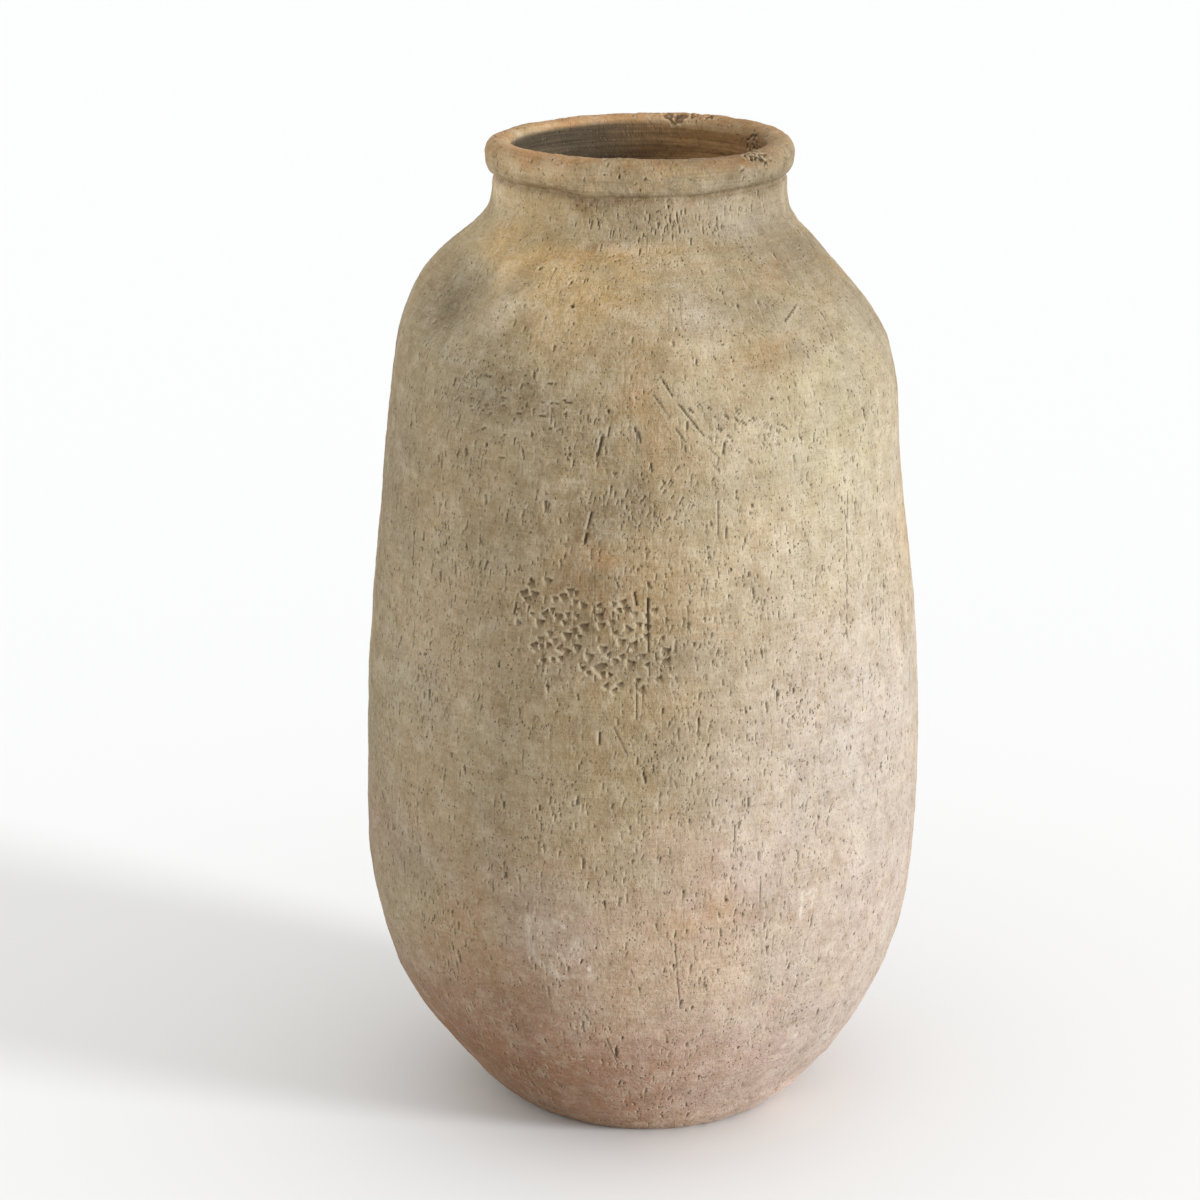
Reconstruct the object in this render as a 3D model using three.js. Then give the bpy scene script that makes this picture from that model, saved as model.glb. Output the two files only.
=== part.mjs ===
// A tall, handle-less terracotta storage jar with a barrel body, a short neck and a thick rolled lip.
// It is built the way a potter builds one: a floor disc, then wall sections stacked and luted together.
// Millimetres, +Z up. The origin is the centre of the underside, and -Y is the front.

import * as THREE from 'three';

// Driving dimensions
const jarHeight = 760;
const floorThickness = 20;
const wallThickness = 17;
const jointGap = 0.3;
const jointBevel = 4;

// The lip is an upright oval roll, with a flatter top and a tighter edge towards the throat.
const lipRadius = 105.5;
const lipHalfWidth = 10.5;
const lipHalfHeight = 12;
const lipHeight = jarHeight - lipHalfHeight;
const lipStartAngle = -60;
const lipEndAngle = 180;
const lipInnerSquareness = 0.6;

// Heights of the luted joints between the sections
const footJoint = floorThickness;
const lowerJoint = 150;
const bellyJoint = 265;
const upperJoint = 445;
const shoulderJoint = 605;
const neckJoint = 696;
const lipJoint = 733;

const stepsAround = 48;
const rowHeight = 32;
const shoulderRowHeight = 13;
const footRowHeight = 7;
const lipSteps = 12;

// Outside of the wall from foot to lip, before the hand marks: [height, radius].
const outline = [
  [0, 109],
  [20, 134],
  [48, 157.5],
  [90, 186],
  [140, 205.5],
  [200, 215.5],
  [280, 217],
  [360, 213.5],
  [440, 205],
  [530, 195.5],
  [585, 190],
  [615, 183],
  [650, 164.5],
  [680, 138.5],
  [698, 119],
  [712, 111],
  [733, 110],
];

// Broad dents and swellings. turn is the angle in degrees from the front towards the right.
const handMarks = [
  { turn: 299, height: 655, spread: 17, tall: 25, push: -7 },
  { turn: 322, height: 664, spread: 12, tall: 30, push: 4 },
  { turn: 300, height: 72, spread: 16, tall: 28, push: -3 },
  { turn: 55, height: 590, spread: 26, tall: 60, push: 2 },
  { turn: 20, height: 520, spread: 24, tall: 90, push: -2 },
  { turn: 160, height: 610, spread: 30, tall: 50, push: -3 },
  { turn: 215, height: 330, spread: 34, tall: 110, push: 2.5 },
  { turn: 120, height: 190, spread: 28, tall: 80, push: -2.5 },
];

// Slow waves round the jar: times round, lean in degrees per millimetre, start in degrees, and push.
const throwingWaves = [
  { times: 2, lean: 0, start: 34, push: 1.2, fadeHeight: 130 },
  { times: 3, lean: 0.337, start: 0, push: 0.7 },
];

// The mouth rises a little at the back right and sags at the front left.
const mouthWaves = [
  { times: 1, start: -160, lift: 1.8 },
  { times: 2, start: 69, lift: 0.7 },
];

// How far the centre line wanders sideways, towards +X: [height, shift].
const centreLine = [
  [0, 5.5],
  [30, 4],
  [75, 1.2],
  [140, 0],
  [410, 1],
  [530, 0.5],
  [590, 2],
  [625, -2],
  [665, -7],
  [700, -2],
  [760, -1.5],
];

// Smooth curve through points with rising heights, read as value against height.
function smoothValue(points, height) {
  const last = points.length - 1;
  let i = 0;
  while (i < last - 1 && height > points[i + 1][0]) {
    i += 1;
  }
  const slopeAt = (k) => {
    const below = points[Math.max(k - 1, 0)];
    const above = points[Math.min(k + 1, last)];
    return (above[1] - below[1]) / (above[0] - below[0]);
  };
  const [startHeight, startValue] = points[i];
  const [endHeight, endValue] = points[i + 1];
  const span = endHeight - startHeight;
  const t = THREE.MathUtils.clamp((height - startHeight) / span, 0, 1);
  const t2 = t * t;
  const t3 = t2 * t;
  return (
    (2 * t3 - 3 * t2 + 1) * startValue +
    (t3 - 2 * t2 + t) * span * slopeAt(i) +
    (3 * t2 - 2 * t3) * endValue +
    (t3 - t2) * span * slopeAt(i + 1)
  );
}

const outerRadius = (height) => smoothValue(outline, height);

// The wall keeps its thickness square to its slope.
function innerRadius(height) {
  const slope = (outerRadius(height + 1) - outerRadius(height - 1)) / 2;
  return outerRadius(height) - wallThickness * Math.hypot(1, slope);
}

function angleBetween(a, b) {
  return Math.abs(THREE.MathUtils.euclideanModulo(a - b + 180, 360) - 180);
}

// Radial push of the throwing waves and the hand marks
function handPush(turn, height) {
  let push = 0;
  for (const wave of throwingWaves) {
    const angle = THREE.MathUtils.degToRad(wave.times * turn + wave.start + wave.lean * height);
    const fade = wave.fadeHeight ? Math.sin(height / wave.fadeHeight) : 1;
    push += wave.push * fade * Math.cos(angle);
  }
  for (const mark of handMarks) {
    const across = angleBetween(turn, mark.turn) / mark.spread;
    const up = (height - mark.height) / mark.tall;
    push += mark.push * Math.exp(-(across * across + up * up));
  }
  return push;
}

function mouthLift(turn, height) {
  let lift = 0;
  for (const wave of mouthWaves) {
    lift += wave.lift * Math.cos(THREE.MathUtils.degToRad(wave.times * turn + wave.start));
  }
  return lift * THREE.MathUtils.smoothstep(height, neckJoint, jarHeight);
}

// Moves a turned section's vertices to their hand-made places.
function shapeByHand(geometry) {
  const position = geometry.getAttribute('position');
  for (let i = 0; i < position.count; i += 1) {
    const x = position.getX(i);
    const y = position.getY(i);
    const height = position.getZ(i);
    const radius = Math.hypot(x, y);
    const turn = THREE.MathUtils.radToDeg(Math.atan2(x, -y));
    const share = THREE.MathUtils.smoothstep(radius, 0, lipRadius);
    const grow = radius > 0 ? 1 + (share * handPush(turn, height)) / radius : 1;
    const shift = share * smoothValue(centreLine, height);
    position.setXYZ(i, x * grow + shift, y * grow, height + mouthLift(turn, height));
  }
  return geometry;
}

// Turns a closed section about the jar's centre line.
function turnedSolid(section) {
  const points = section.map(([radius, height]) => new THREE.Vector2(radius, height));
  const geometry = new THREE.LatheGeometry(points, stepsAround);
  geometry.rotateX(Math.PI / 2);
  return shapeByHand(geometry);
}

// Points up one side of the wall, evenly spaced between two heights.
function wallSide(radiusAt, from, to, row) {
  const rows = Math.max(1, Math.round(Math.abs(to - from) / row));
  const side = [];
  for (let i = 0; i <= rows; i += 1) {
    const height = from + ((to - from) * i) / rows;
    side.push([radiusAt(height), height]);
  }
  return side;
}

// A ring of wall between two joints. Each joint slopes up towards the inside.
function wallSection(lowJoint, highJoint, lowBevel, highBevel, row) {
  const low = lowJoint + jointGap / 2;
  const high = highJoint - jointGap / 2;
  const outside = wallSide(outerRadius, low, high, row);
  const inside = wallSide(innerRadius, high + highBevel, low + lowBevel, row);
  return turnedSolid([...outside, ...inside, outside[0]]);
}

// The floor disc carries the whole first ring on its edge.
function baseDisc() {
  const top = footJoint - jointGap / 2;
  return turnedSolid([[0, 0], ...wallSide(outerRadius, 0, top, footRowHeight), [0, top]]);
}

// The rolled lip runs over from the groove under it to the throat.
function rimCoil() {
  const low = lipJoint + jointGap / 2;
  const roll = [];
  for (let i = 0; i <= lipSteps; i += 1) {
    const turned = lipStartAngle + ((lipEndAngle - lipStartAngle) * i) / lipSteps;
    const angle = THREE.MathUtils.degToRad(turned);
    const power = Math.cos(angle) < 0 ? lipInnerSquareness : 1;
    const across = Math.sign(Math.cos(angle)) * Math.abs(Math.cos(angle)) ** power;
    const up = Math.sign(Math.sin(angle)) * Math.abs(Math.sin(angle)) ** power;
    roll.push([lipRadius + lipHalfWidth * across, lipHeight + lipHalfHeight * up]);
  }
  const outside = [outerRadius(low), low];
  const inside = [innerRadius(low), low + jointBevel];
  return turnedSolid([outside, ...roll, inside, outside]);
}

// Fired clay, from pinkish at the foot to buff and ochre at the lip
function clay(color) {
  return new THREE.MeshStandardMaterial({ color, roughness: 0.95, metalness: 0 });
}

const jar = new THREE.Group();

function addSection(name, geometry, color) {
  const mesh = new THREE.Mesh(geometry, clay(color));
  mesh.name = name;
  jar.add(mesh);
}

function addWall(name, low, high, lowBevel, row, color) {
  addSection(name, wallSection(low, high, lowBevel, jointBevel, row), color);
}

addSection('base_disc', baseDisc(), 0xb89478);
addWall('foot_wall', footJoint, lowerJoint, 0, rowHeight, 0xba9678);
addWall('lower_wall', lowerJoint, bellyJoint, jointBevel, rowHeight, 0xc0a080);
addWall('belly_wall', bellyJoint, upperJoint, jointBevel, rowHeight, 0xb9a27a);
addWall('upper_wall', upperJoint, shoulderJoint, jointBevel, rowHeight, 0xb6a279);
addWall('shoulder', shoulderJoint, neckJoint, jointBevel, shoulderRowHeight, 0xb09a6e);
addWall('neck_collar', neckJoint, lipJoint, jointBevel, shoulderRowHeight, 0xb7a078);
addSection('rim_coil', rimCoil(), 0xb98d5e);

export default jar;
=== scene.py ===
"""A tall terracotta storage jar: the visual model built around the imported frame.

Lengths are millimetres until a mesh is made. turn is the angle in degrees from the front (-Y) towards the
right (+X), height is above the floor, and along is the distance along the jar's outline from the centre of
its underside, up the outside, over the lip and down the inside.
"""

import itertools
import math

import bpy
import numpy as np
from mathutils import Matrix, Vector
from mathutils.bvhtree import BVHTree


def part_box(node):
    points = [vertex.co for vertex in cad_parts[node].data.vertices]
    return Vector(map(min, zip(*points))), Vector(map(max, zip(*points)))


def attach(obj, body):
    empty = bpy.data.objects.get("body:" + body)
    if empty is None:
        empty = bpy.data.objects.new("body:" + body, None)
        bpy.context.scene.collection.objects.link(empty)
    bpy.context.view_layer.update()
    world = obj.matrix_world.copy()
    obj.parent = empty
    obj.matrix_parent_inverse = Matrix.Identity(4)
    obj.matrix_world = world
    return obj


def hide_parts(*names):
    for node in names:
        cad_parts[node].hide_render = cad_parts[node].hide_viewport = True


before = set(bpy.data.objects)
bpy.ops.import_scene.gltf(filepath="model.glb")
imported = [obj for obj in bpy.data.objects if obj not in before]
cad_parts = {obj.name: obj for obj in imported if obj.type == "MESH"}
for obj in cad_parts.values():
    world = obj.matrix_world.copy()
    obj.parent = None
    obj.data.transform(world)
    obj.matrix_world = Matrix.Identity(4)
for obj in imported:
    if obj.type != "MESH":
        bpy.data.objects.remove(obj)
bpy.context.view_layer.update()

MM = 1000.0
SECTIONS = (
    "base_disc", "foot_wall", "lower_wall", "belly_wall",
    "upper_wall", "shoulder", "neck_collar", "rim_coil",
)
BOXES = {name: [np.array(corner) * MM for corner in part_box(name)] for name in SECTIONS}
JAR_TOP = BOXES["rim_coil"][1][2]

# The grid: columns sit closer together at the front, rows closer together over the tool marks.
COLUMNS = 1024
FRONT_FOCUS = 0.4
STRIPS = 4
ROW_SPACING = 1.4
NECK_ROW_SPACING = 1.2
TOOL_ROW_SPACING = 0.95
LIP_ROW_SPACING = 1.0
INSIDE_ROW_SPACING = 8.0
INSIDE_NECK_SPACING = 3.0
JOINT_ROWS = 3
# The underside and the floor are rings of rows, as shares of their radius
DISC_ROWS = 16
CENTRE_SHARE = 0.02
FOOT_EDGE_SHARE = 0.985
FLOOR_EDGE_SHARE = 0.97
# Places along an outline that are laid out before the rows are spaced evenly
WALL_STEPS = 400
LIP_STEPS = 3000

share = np.arange(COLUMNS) / COLUMNS
TURN = np.degrees(2 * np.pi * share - FRONT_FOCUS * np.sin(2 * np.pi * share))


# ---- The broad shape, read off the frame ----


def frame_tree():
    """All the CAD sections as one ray tree."""
    points = []
    faces = []
    for name in SECTIONS:
        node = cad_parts[name]
        start = len(points)
        points += [(node.matrix_world @ v.co) * MM for v in node.data.vertices]
        faces += [[start + i for i in p.vertices] for p in node.data.polygons]
    return BVHTree.FromPolygons(points, faces)


TREE = frame_tree()
FAR = 2 * JAR_TOP
PROBE_TURNS = np.arange(0, 360, 3.75)
HARMONICS = 10


def wall_radii(heights, outside):
    """The radius of the wall's outer or inner face at each height and probe turn."""
    radii = np.full((len(heights), len(PROBE_TURNS)), np.nan)
    for i, height in enumerate(heights):
        for j, turn in enumerate(np.radians(PROBE_TURNS)):
            out = Vector((math.sin(turn), -math.cos(turn), 0))
            start = out * FAR if outside else Vector()
            hit = TREE.ray_cast(start + Vector((0, 0, height)), -out if outside else out)[0]
            if hit is not None:
                radii[i, j] = math.hypot(hit.x, hit.y)
    return radii


def around(values):
    """Probe values carried to the grid's columns by their first few harmonics."""
    waves = np.fft.rfft(values, axis=-1)[..., : HARMONICS + 1] / len(PROBE_TURNS)
    waves[..., 1:] *= 2
    k = np.arange(HARMONICS + 1)[:, None]
    return (waves @ np.exp(1j * k * np.radians(TURN))).real


def smooth_rows(heights, values, targets, reaches):
    """A local quadratic fit: it drops the CAD's facets and keeps the outline."""
    rows = []
    for target, reach in zip(targets, reaches):
        d = (heights - target) / reach
        weight = np.exp(-0.5 * d * d)[:, None]
        basis = np.stack([np.ones_like(d), d, d * d], axis=1)
        rows.append(np.linalg.solve(basis.T @ (weight * basis), basis.T @ (weight * values))[0])
    return np.array(rows)


def step(x, low, high):
    """0 below low, 1 above high, and a smooth rise between."""
    t = np.clip((x - low) / (high - low), 0, 1)
    return t * t * (3 - 2 * t)


def running_total(lengths):
    """0 and then the sum so far."""
    return np.concatenate([[0], np.cumsum(lengths)])


def hump(x, reach):
    """1 where x is 0, fading away past reach on both sides."""
    return np.exp(-((x / reach) ** 2))


def turned_from(turn):
    """Degrees round the jar from a turn to every column, from -180 to 180."""
    return (TURN - turn + 180) % 360 - 180


JOINT_HEIGHTS = [0.0] + [BOXES[name][0][2] for name in SECTIONS[1:-1]]
RIM_UNDERSIDE = BOXES["rim_coil"][0][2]
NECK_TOP = BOXES["neck_collar"][1][2]
LIP_JOINT = (RIM_UNDERSIDE + NECK_TOP) / 2 - 2.0
JOINT_HEIGHTS.append(LIP_JOINT)
FLOOR_TOP = JOINT_HEIGHTS[1]
NECK_ROOT = JOINT_HEIGHTS[-2]

PROBE_STEP = 3.0
outer_probe = np.arange(0.5, LIP_JOINT + PROBE_STEP, PROBE_STEP)
inner_probe = np.arange(FLOOR_TOP + PROBE_STEP, LIP_JOINT + PROBE_STEP, PROBE_STEP)
OUTER = around(wall_radii(outer_probe, True))
INNER = around(wall_radii(inner_probe, False))
OUTER_MEAN = OUTER.mean(axis=1)

# How far the outline is smoothed, and where the rows are closer together
WALL_REACH = 15
TOOL_ROWS_BEGIN = (372, 388)
TOOL_ROWS_END = (478, 494)
NECK_EASE = 20


def reach_at(heights):
    """How far the outline is smoothed: far on the long wall, less on the shoulder, neck and foot."""
    shoulder = 7 * step(heights, 560, 620)
    neck = 3.5 * step(heights, 670, 700)
    foot = 5 * step(-heights, -40, -10)
    return WALL_REACH - shoulder - neck - foot


def row_heights(low, high, spacing_at):
    """Heights from joint to joint, spaced along the outline as spacing_at(height) asks."""
    fine = np.linspace(low, high, WALL_STEPS)
    radius = np.interp(fine, outer_probe, OUTER_MEAN)
    length = np.hypot(np.diff(fine), np.diff(radius))
    count = running_total(length / spacing_at(fine[1:]))
    return np.interp(np.linspace(0, count[-1], max(3, round(count[-1])) + 1), count, fine)


def outside_spacing(height):
    over_tools = step(height, *TOOL_ROWS_BEGIN) * (1 - step(height, *TOOL_ROWS_END))
    at_neck = step(height, NECK_ROOT - NECK_EASE, NECK_ROOT)
    spacing = ROW_SPACING + (TOOL_ROW_SPACING - ROW_SPACING) * over_tools
    return spacing + (NECK_ROW_SPACING - ROW_SPACING) * at_neck


def inside_spacing(height):
    at_neck = step(height, NECK_ROOT - NECK_EASE, NECK_ROOT)
    return INSIDE_ROW_SPACING + (INSIDE_NECK_SPACING - INSIDE_ROW_SPACING) * at_neck


# The lip's oval section, from the frame
lip_probe = np.arange(LIP_JOINT + 7, JAR_TOP - 6, 2.0)
LIP_OUT = around(np.nanmax(wall_radii(lip_probe, True), axis=0))
LIP_IN = around(np.nanmin(wall_radii(lip_probe, False), axis=0))
# The mouth's edge is worn wider at the left, and the lip's top slopes inwards most at the back right
MOUTH_WEAR = 2.2
LIP_IN = LIP_IN + MOUTH_WEAR * hump(turned_from(-80), 35)
LIP_SLOPE = 2.0 + 5 * hump(turned_from(142), 24)
LIP_DROP = 13.0
LIP_UNDERCUT = 16.0
LIP_INNER_DROP = 14.0
# The section's angles: from the joint outside, over the top, to the mouth's inner wall
LIP_START, LIP_END = -65, 235
# Powers below 1 square the oval up
LIP_INNER_POWER = 0.42
LIP_OUTER_POWER = 0.85
LIP_INNER_TUCK = 0.72
LIP_TAPER = 0.68
LIP_TAPER_POWER = 1.4


def lip_tops():
    tops = []
    for j, turn in enumerate(np.radians(PROBE_TURNS)):
        column = np.argmin(np.abs(TURN - PROBE_TURNS[j]))
        radius = (LIP_OUT[column] + LIP_IN[column]) / 2
        start = Vector((radius * math.sin(turn), -radius * math.cos(turn), FAR))
        tops.append(TREE.ray_cast(start, Vector((0, 0, -1)))[0].z)
    return around(np.array(tops))


LIP_TOP = lip_tops()


def lip_rows(angle):
    """The lip's section: a full roll outside, a flattish top and a tighter inner edge."""
    half = (LIP_OUT - LIP_IN) / 2
    middle = (LIP_OUT + LIP_IN) / 2
    c = np.cos(angle)
    s = np.sin(angle)
    power = np.where(c < 0, LIP_INNER_POWER, LIP_OUTER_POWER)
    across = np.sign(c) * np.abs(c) ** power
    rise = np.sign(s) * np.abs(s) ** power
    outer = np.where(s > 0, LIP_DROP * rise, LIP_UNDERCUT * s) - LIP_DROP
    inner = np.where(s > 0, rise, LIP_INNER_TUCK * s) * LIP_INNER_DROP - LIP_INNER_DROP
    tapered = 1 - LIP_TAPER * np.abs(s / math.sin(math.radians(LIP_START))) ** LIP_TAPER_POWER
    across = np.where(s < 0, np.where(c < 0, -1, tapered), across)
    height = np.where(c > 0, outer, inner - LIP_SLOPE * across**2)
    return middle + half * across, LIP_TOP + height


def level(heights):
    """Rows of heights that are the same all the way round."""
    return np.repeat(heights[:, None], COLUMNS, axis=1)


def skin_rows():
    """Radius and height of every row and column of the skin, and where each block of rows starts."""
    blocks = []
    foot = smooth_rows(outer_probe, OUTER, [0.0], [4.0])[0]
    shares = np.linspace(CENTRE_SHARE, FOOT_EDGE_SHARE, DISC_ROWS)[:, None]
    blocks.append((shares * foot, level(np.zeros(DISC_ROWS))))
    for low, high in itertools.pairwise(JOINT_HEIGHTS):
        heights = row_heights(low, high, outside_spacing)
        if blocks[1:]:
            heights = heights[1:]
        radii = smooth_rows(outer_probe, OUTER, heights, reach_at(heights))
        blocks.append((radii, level(heights)))
    fine = np.radians(np.linspace(LIP_START, LIP_END, LIP_STEPS))[:, None]
    radii, heights = (values.mean(axis=1) for values in lip_rows(fine))
    length = running_total(np.hypot(np.diff(radii), np.diff(heights)))
    even = np.linspace(0, length[-1], round(length[-1] / LIP_ROW_SPACING))
    blocks.append(lip_rows(np.interp(even, length, fine[:, 0])[:, None]))
    inner_top = LIP_JOINT + 4.0
    lip_and_below = len(blocks)
    for high, low in itertools.pairwise([inner_top, *reversed(JOINT_HEIGHTS[1:-1])]):
        heights = row_heights(low, high, inside_spacing)[::-1]
        if len(blocks) > lip_and_below:
            heights = heights[1:]
        radii = smooth_rows(inner_probe, INNER, heights, reach_at(heights))
        near_lip = step(heights, NECK_ROOT - 4, inner_top)[:, None]
        radii = radii + near_lip * (LIP_IN - radii)
        blocks.append((radii, level(heights)))
    shares = np.linspace(FLOOR_EDGE_SHARE, CENTRE_SHARE, DISC_ROWS)[:, None]
    blocks.append((shares * blocks[-1][0][-1], level(np.full(DISC_ROWS, FLOOR_TOP))))
    starts = np.cumsum([0] + [len(radii) for radii, _ in blocks])
    radii, heights = (np.concatenate(parts) for parts in zip(*blocks))
    return radii, heights, starts


RADIUS, HEIGHT, STARTS = skin_rows()
# Blocks of rows: the underside, seven walls up to the lip joint, the lip, seven walls down, the floor
WALLS = len(JOINT_HEIGHTS) - 1
LIP_BLOCK = 1 + WALLS


def soften_corners(rows, reach, passes):
    """Rounds the outline where it turns sharply, as wet hands do."""
    for values in (RADIUS, HEIGHT):
        for _ in range(passes):
            low, high = rows - reach, rows + reach
            window = values[low:high]
            window[1:-1] = (window[:-2] + 2 * window[1:-1] + window[2:]) / 4


# Each corner's block, and the rows and passes it is softened by: foot, under the lip, in the mouth, floor
for block, reach, passes in ((1, 5, 5), (LIP_BLOCK, 6, 8), (LIP_BLOCK + 1, 4, 6), (-2, 4, 6)):
    soften_corners(STARTS[block], reach, passes)

ANGLE = np.radians(TURN)[None, :]
SKIN = np.stack([RADIUS * np.sin(ANGLE), -RADIUS * np.cos(ANGLE), HEIGHT], axis=-1)
MEAN_RADIUS = RADIUS.mean(axis=1)
MEAN_HEIGHT = HEIGHT.mean(axis=1)
ALONG = running_total(np.hypot(np.diff(MEAN_RADIUS), np.diff(MEAN_HEIGHT)))
ROWS = len(ALONG)
row = np.arange(ROWS)
# The inner colours begin a little way up the lip's inner face
INNER_EDGE = ALONG[STARTS[LIP_BLOCK + 1]] - 22
INSIDE = step(ALONG, INNER_EDGE, INNER_EDGE + 5)[:, None] * np.ones(COLUMNS)
OUTSIDE = ((row >= STARTS[1]) & (row < STARTS[LIP_BLOCK + 1]))[:, None]


def along_at(height):
    """Distance along the outline of a height on the outside."""
    rows = slice(STARTS[1], STARTS[LIP_BLOCK] + 20)
    return np.interp(height, MEAN_HEIGHT[rows], ALONG[rows])


def normals_of(points):
    """Outward normals of the skin, from its neighbours on both sides."""
    across = np.roll(points, -1, axis=1) - np.roll(points, 1, axis=1)
    up = np.gradient(points, axis=0)
    normal = np.cross(across, up)
    length = np.linalg.norm(normal, axis=-1, keepdims=True)
    return normal / np.maximum(length, 1e-9)


# ---- Noise and marks ----

NOISE_CELLS = 64


def noise(cell, seed):
    """Smooth noise over the skin from -1 to 1, whose lumps are cell = (x, y, z) millimetres in size."""
    table = np.random.default_rng(seed).uniform(-1, 1, (NOISE_CELLS,) * 3).astype(np.float32)
    place = SKIN / np.asarray(cell)
    base = np.floor(place).astype(np.int32)
    part = (place - base).astype(np.float32)
    part = part * part * (3 - 2 * part)
    total = np.zeros(place.shape[:-1], np.float32)
    for corner in itertools.product((0, 1), repeat=3):
        weight = np.ones_like(total)
        for axis, high in enumerate(corner):
            weight *= part[..., axis] if high else 1 - part[..., axis]
        at = (base + corner) % NOISE_CELLS
        total += weight * table[at[..., 0], at[..., 1], at[..., 2]]
    return total


def layered(size, seed, octaves, stretch=1.0):
    """Several sizes of noise on top of each other."""
    total = 0
    for i in range(octaves):
        cell = size / 2**i
        total = total + noise((cell, cell, cell * stretch), seed + i) / 2**i
    return total


RING_BLUR = 30


def ring_curve(points):
    """A height for every column from a few (turn, height) points round the jar."""
    turns, heights = zip(*points)
    value = np.interp(TURN, turns, heights, period=360)
    kernel = np.hanning(2 * RING_BLUR + 1)
    padded = np.concatenate([value[-RING_BLUR:], value, value[:RING_BLUR]])
    return np.convolve(padded, kernel / kernel.sum(), "valid")


# Breaks up the edges of every mark
RAGGED = noise((1.7, 1.7, 2.4), 90)


class Marks:
    """What the marks leave on the grid: depth pressed in, dark in pits that is partly dirt held and partly
    painted shade, chalky scuffs, and pale left edges that are partly wear and partly a painted highlight.
    """

    def __init__(self):
        self.depth = np.zeros((ROWS, COLUMNS))
        self.dirt_and_painted_shade = np.zeros((ROWS, COLUMNS))
        self.chalk = np.zeros((ROWS, COLUMNS))
        self.wear_and_painted_highlight = np.zeros((ROWS, COLUMNS))

    def window(self, turn, along, lean, reach):
        """Rows and columns within reach of a mark, and their millimetres up it and across it."""
        low, high = np.searchsorted(ALONG, (along - reach, along + reach))
        high = max(high, low + 1)
        radius = max(MEAN_RADIUS[(low + min(high, ROWS - 1)) // 2], 20)
        swing = math.degrees(reach / radius)
        first = np.searchsorted(TURN, (turn - swing) % 360)
        count = np.searchsorted(TURN, (turn + swing) % 360) - first
        columns = (first + np.arange(count % COLUMNS + 1)) % COLUMNS
        rows = np.arange(low, min(high, ROWS))
        right = np.radians(turned_from(turn)[columns]) * radius
        up = (ALONG[rows] - along)[:, None]
        s, c = math.sin(math.radians(lean)), math.cos(math.radians(lean))
        return np.ix_(rows, columns), right * s + up * c, right * c - up * s

    def press(self, where, depth, dirt_and_painted_shade):
        self.depth[where] = np.maximum(self.depth[where], depth)
        self.dirt_and_painted_shade[where] = np.maximum(self.dirt_and_painted_shade[where], dirt_and_painted_shade)

    def gouge(self, turn, along, lean, length, width, depth, dirt_and_painted_shade, taper=0.0, burr=0.0):
        """A ragged pit or scratch. lean is its tilt from upright in degrees, to the right at the top. It
        narrows downwards by taper, and burr is the height of the clay pushed up along its left edge."""
        where, lengthways, sideways = self.window(turn, along, lean, length / 2 + width + 1)
        beyond = np.maximum(np.abs(lengthways) - length / 2, 0)
        down_it = np.clip(0.5 - lengthways / max(length, 0.1), 0, 1)
        half = width / 2 * (1 - taper * down_it)
        q = (sideways**2 + beyond**2) / half**2
        cut = np.clip(1 - q + 0.45 * RAGGED[where] * (q < 1.6), 0, 1)
        floor = depth * (1 - 0.6 * taper * down_it) * np.sqrt(cut)
        # Darker inside the cut: partly dirt held in it, partly painted shade in the pit.
        self.press(where, floor, dirt_and_painted_shade * np.clip(1.5 * cut, 0, 1))
        pushed = hump(sideways + half + 0.8, 0.8) * hump(beyond, 1)
        # Paler along the left edge, where clay is pushed up: partly wear, partly a painted highlight on the
        # side facing the light from the right.
        self.wear_and_painted_highlight[where] = np.maximum(self.wear_and_painted_highlight[where], min(0.5 * depth, 0.6) * pushed)
        if burr:
            self.depth[where] -= burr * pushed * np.clip(1 + RAGGED[where], 0.3, 1.6)

    def rub(self, turn, along, lean, length, width, strength):
        """A pale scuff that leaves no depth."""
        where, lengthways, sideways = self.window(turn, along, lean, length / 2 + 2 * width + 1)
        beyond = np.maximum(np.abs(lengthways) - length / 2, 0)
        q = (sideways**2 + beyond**2) / width**2
        broken = np.clip(0.75 + 0.7 * RAGGED[where], 0, 1)
        self.chalk[where] = np.maximum(self.chalk[where], strength * np.exp(-q) * broken)

    def wedge(self, turn, along, lean, size, depth):
        """A tool's corner pushed in: deep along its flat top, running out below, clay raised beside it."""
        where, v, u = self.window(turn, along, lean, size * 1.4)
        v = v + 0.5 * RAGGED[where]
        u = u + 0.5 * RAGGED[where]
        fall = np.clip(-v / size, 0, 1)
        half = size * 0.48 * (1 - 0.75 * fall)
        inside = step(half - np.abs(u), -0.45, 0.45) * step(-v, -0.45, 0.45)
        floor = depth * inside * (1 - fall) ** 0.8
        left = hump(u + half + 1, 1.25) * step(-v, -1.5, 0.5) * (1 - step(fall, 0.75, 1))
        top = 0.5 * hump(v - 1.1, 1.1) * step(size * 0.5 - np.abs(u), -0.6, 0.6)
        shadowed = step(u, -0.2 * size, 0.35 * size)
        # Darker inside the mark and most on its shadowed right side: partly dirt, partly painted shade.
        self.press(where, floor, inside * (1 - fall) ** 2 * (0.4 + 0.6 * shadowed))
        raised = np.maximum(left, top) * (floor < 0.2)
        self.depth[where] -= 0.95 * depth * raised
        # Paler on the raised clay at its left and top: partly wear, partly a painted highlight.
        self.wear_and_painted_highlight[where] = np.maximum(self.wear_and_painted_highlight[where], 0.7 * raised)


marks = Marks()
rng = np.random.default_rng(11)

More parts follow.
